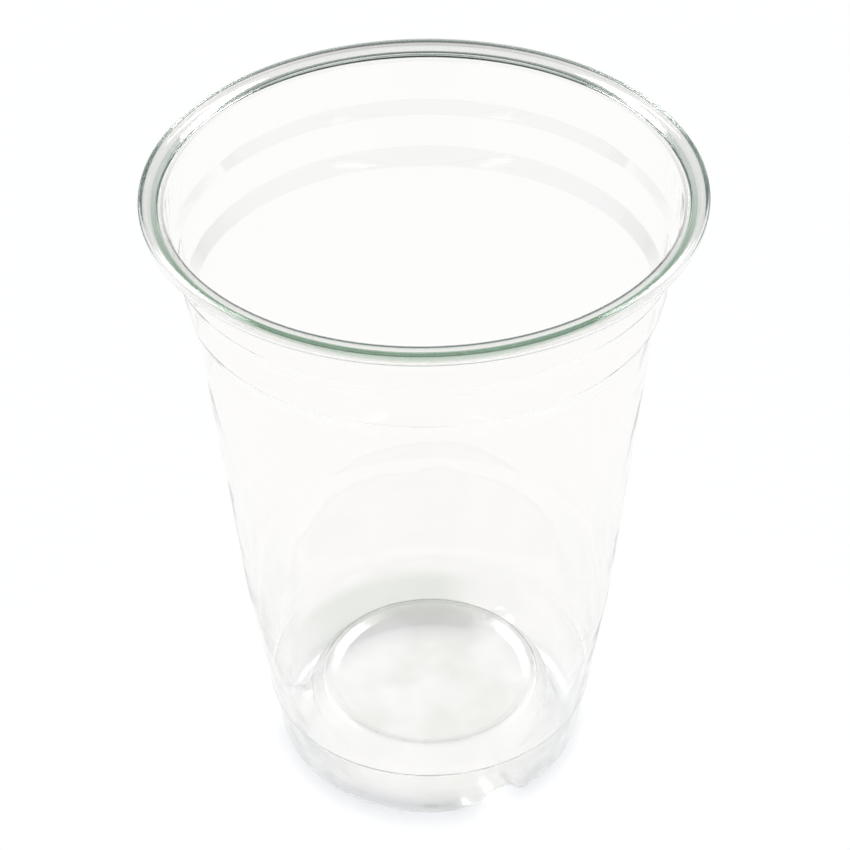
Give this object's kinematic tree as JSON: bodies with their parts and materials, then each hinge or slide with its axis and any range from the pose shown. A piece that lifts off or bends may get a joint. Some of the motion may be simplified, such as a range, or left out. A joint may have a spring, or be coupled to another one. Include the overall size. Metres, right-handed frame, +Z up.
{
  "type": "plastic disposable cup",
  "caption": "Clear thermoformed drinking cup: rolled lip, two stepped bands for the lid and for stacking, tapered wall, vented foot ring and pushed-up floor.",
  "frame": {"origin": "on the table under the centre of the foot ring", "axes": "+Z up along the cup's axis to the mouth, -Y towards the front of the picture, +X to its right"},
  "size_m": [0.098, 0.098, 0.1265],
  "materials": {
    "clear_plastic": "clear glossy PET sheet, faintly grey-green where it is seen edge on"
  },
  "bodies": {
    "root": {"cup": "clear_plastic"}
  },
  "joints": []
}
